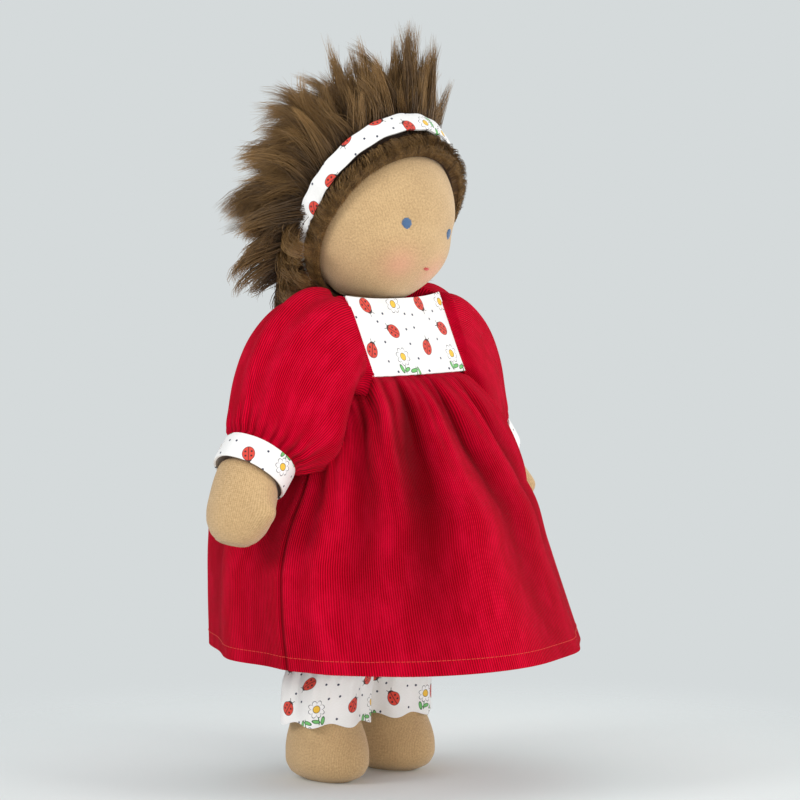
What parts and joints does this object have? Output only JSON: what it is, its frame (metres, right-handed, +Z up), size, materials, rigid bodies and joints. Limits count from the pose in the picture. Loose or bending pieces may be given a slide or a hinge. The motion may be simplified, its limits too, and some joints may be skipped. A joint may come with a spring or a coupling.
{
  "type": "waldorf doll",
  "caption": "Standing stuffed cloth doll with mohair hair, puff sleeves and gathered cord skirt; head, arms and legs move on sewn joints.",
  "frame": {"origin": "middle of the doll's outline on the surface it stands on", "axes": "+Z up; the doll faces -Y and its left side is at +X"},
  "size_m": [0.237, 0.2137, 0.408],
  "materials": {
    "skin_knit": "matt fine cotton knit",
    "stuffing_wool": "loose carded wool",
    "hair_mohair": "brushed mohair pile",
    "cap_knit": "crocheted wool",
    "print_cotton": "plain woven cotton, printed",
    "red_corduroy": "fine needlecord",
    "eye_thread": "satin stitch embroidery thread",
    "mouth_thread": "embroidery thread",
    "tie_thread": "waxed thread",
    "stud_plastic": "press stud",
    "elastic": "covered elastic"
  },
  "bodies": {
    "torso": {"torso_skin": "skin_knit", "torso_stuffing": "stuffing_wool", "yoke_front": "print_cotton", "yoke_back_r": "print_cotton", "yoke_back_l": "print_cotton", "back_stud_upper": "stud_plastic", "back_stud_lower": "stud_plastic", "skirt_front": "red_corduroy", "skirt_back": "red_corduroy", "sleeve_r": "red_corduroy", "sleeve_l": "red_corduroy", "bloomers_seat": "print_cotton", "waist_elastic": "elastic"},
    "neck": {"neck": "skin_knit"},
    "head": {"neck_tie": "tie_thread", "head_skin": "skin_knit", "head_wool_core": "stuffing_wool", "eye_r": "eye_thread", "eye_l": "eye_thread", "mouth": "mouth_thread", "wig_cap": "cap_knit", "hair_front": "hair_mohair", "hair_back": "hair_mohair", "headband": "print_cotton"},
    "arm_r": {"arm_skin_r": "skin_knit", "arm_stuffing_r": "stuffing_wool", "cuff_r": "print_cotton"},
    "arm_l": {"arm_skin_l": "skin_knit", "arm_stuffing_l": "stuffing_wool", "cuff_l": "print_cotton"},
    "leg_r": {"leg_skin_r": "skin_knit", "leg_stuffing_r": "stuffing_wool", "bloomers_r": "print_cotton", "ankle_elastic_r": "elastic"},
    "leg_l": {"leg_skin_l": "skin_knit", "leg_stuffing_l": "stuffing_wool", "bloomers_l": "print_cotton", "ankle_elastic_l": "elastic"}
  },
  "joints": [
    {"name": "neck_nod", "type": "hinge", "parent": "torso", "child": "neck", "pos_m": [-0.006, 0.0206, 0.25], "axis": [1, 0, 0], "range_deg": [-12, 6]},
    {"name": "head_turn", "type": "hinge", "parent": "neck", "child": "head", "pos_m": [-0.006, 0.0206, 0.25], "axis": [0.1991, -0.0523, 0.9786], "range_deg": [-35, 35]},
    {"name": "shoulder_r_swing", "type": "hinge", "parent": "torso", "child": "arm_r", "pos_m": [-0.0384, 0.0176, 0.241], "axis": [-1, 0, 0], "range_deg": [-40, 120], "deforming": ["sleeve_r"]},
    {"name": "shoulder_l_swing", "type": "hinge", "parent": "torso", "child": "arm_l", "pos_m": [0.0384, 0.0176, 0.241], "axis": [-1, 0, 0], "range_deg": [-40, 120], "deforming": ["sleeve_l"]},
    {"name": "hip_r_swing", "type": "hinge", "parent": "torso", "child": "leg_r", "pos_m": [-0.0215, 0.0176, 0.15], "axis": [-1, 0, 0], "range_deg": [-20, 90], "deforming": ["bloomers_r", "bloomers_seat", "skirt_front"]},
    {"name": "hip_l_swing", "type": "hinge", "parent": "torso", "child": "leg_l", "pos_m": [0.0215, 0.0176, 0.15], "axis": [-1, 0, 0], "range_deg": [-20, 90], "deforming": ["bloomers_l", "bloomers_seat", "skirt_front"]}
  ]
}
